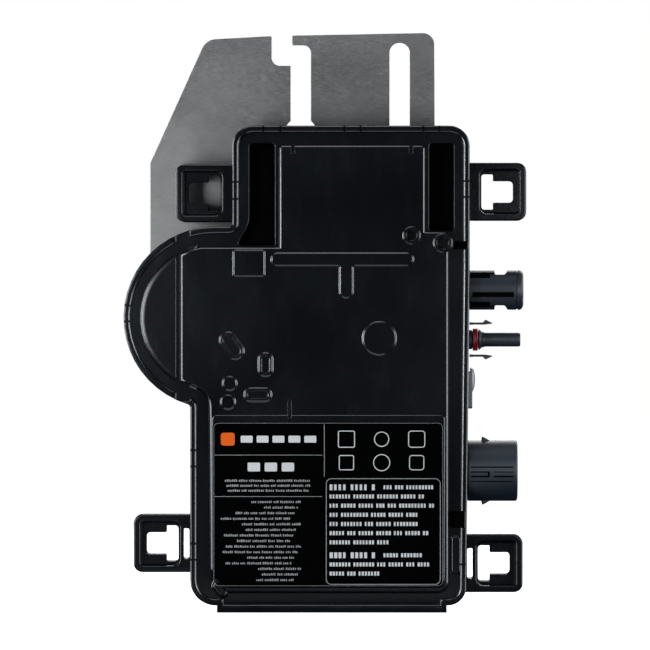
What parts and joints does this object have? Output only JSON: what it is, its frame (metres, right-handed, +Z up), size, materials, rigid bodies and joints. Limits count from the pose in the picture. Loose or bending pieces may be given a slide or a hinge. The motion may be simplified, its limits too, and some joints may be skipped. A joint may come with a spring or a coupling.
{
  "type": "solar micro inverter",
  "caption": "Flat black micro inverter for one solar module, with a slotted steel mounting plate behind it, cable loops and round electrical connectors on one side.",
  "frame": {"origin": "middle of the footprint, on the plane that the foot of the case stands on", "axes": "+Z up, towards the mounting plate's slots; +X towards the electrical connectors; -Y out of the labelled front cover"},
  "size_m": [0.1751, 0.0342, 0.2527],
  "materials": {
    "case_black": "satin black moulded plastic with a fine grain",
    "bracket_steel": "rolled steel sheet with a faint grain",
    "screw_zinc": "zinc plated",
    "label_black": "black film printed with plain pale marks",
    "rubber_black": "soft black",
    "connector_black": "dark blue-grey moulded plastic",
    "seal_red": "red silicone",
    "insert_grey": "dark grey",
    "contact_tin": "tinned copper",
    "plate_grey": "dark grey",
    "lens_grey": "pale diffusing plastic",
    "led_body": "clear resin over a yellow die",
    "board_green": "green solder mask",
    "spreader_aluminium": "milled",
    "pad_grey": "soft filled silicone",
    "chip_black": "moulded epoxy",
    "ferrite_grey": "sintered ferrite",
    "winding_copper": "enamelled copper wire",
    "capacitor_sleeve": "shrunk sleeve",
    "film_yellow": "potted box",
    "fuse_ceramic": "white ceramic",
    "varistor_blue": "dipped epoxy"
  },
  "bodies": {
    "inverter": {"rear_case": "case_black", "front_cover": "case_black", "mounting_bracket": "bracket_steel", "bracket_screw_1": "screw_zinc", "bracket_screw_2": "screw_zinc", "bracket_screw_3": "screw_zinc", "bracket_screw_4": "screw_zinc", "board_screw_1": "screw_zinc", "board_screw_2": "screw_zinc", "board_screw_3": "screw_zinc", "board_screw_4": "screw_zinc", "rating_label": "label_black", "cover_gasket": "rubber_black", "ac_seal": "rubber_black", "dc_socket_housing": "connector_black", "dc_plug_housing": "connector_black", "dc_plug_tube": "connector_black", "ac_connector_shell": "connector_black", "dc_plug_seal": "seal_red", "ac_connector_insert": "insert_grey", "dc_socket_contact": "contact_tin", "dc_plug_pin": "contact_tin", "ac_pin_1": "contact_tin", "ac_pin_2": "contact_tin", "ac_pin_3": "contact_tin", "ac_pin_4": "contact_tin", "side_plate": "plate_grey", "status_lens": "lens_grey", "status_led": "led_body", "main_board": "board_green", "heat_spreader": "spreader_aluminium", "thermal_pad": "pad_grey", "mosfet_1": "chip_black", "mosfet_2": "chip_black", "mosfet_3": "chip_black", "mosfet_4": "chip_black", "relay": "chip_black", "control_chip": "chip_black", "transformer_core_lower": "ferrite_grey", "transformer_core_upper": "ferrite_grey", "choke_core": "ferrite_grey", "filter_core": "ferrite_grey", "transformer_winding": "winding_copper", "choke_winding": "winding_copper", "filter_winding": "winding_copper", "capacitor_1": "capacitor_sleeve", "capacitor_2": "capacitor_sleeve", "capacitor_3": "capacitor_sleeve", "capacitor_4": "capacitor_sleeve", "film_capacitor": "film_yellow", "fuse": "fuse_ceramic", "varistor": "varistor_blue"},
    "upper_latch": {"latch_upper": "connector_black"},
    "lower_latch": {"latch_lower": "connector_black"}
  },
  "joints": [
    {"name": "upper_latch_flex", "type": "hinge", "parent": "inverter", "child": "upper_latch", "pos_m": [0.0639, -0.0011, 0.1256], "axis": [0, 1, 0], "range_deg": [0, 8], "stiffness_Nm_per_rad": 0.05},
    {"name": "lower_latch_flex", "type": "hinge", "parent": "inverter", "child": "lower_latch", "pos_m": [0.0639, -0.0011, 0.1116], "axis": [0, -1, 0], "range_deg": [0, 8], "stiffness_Nm_per_rad": 0.05}
  ]
}
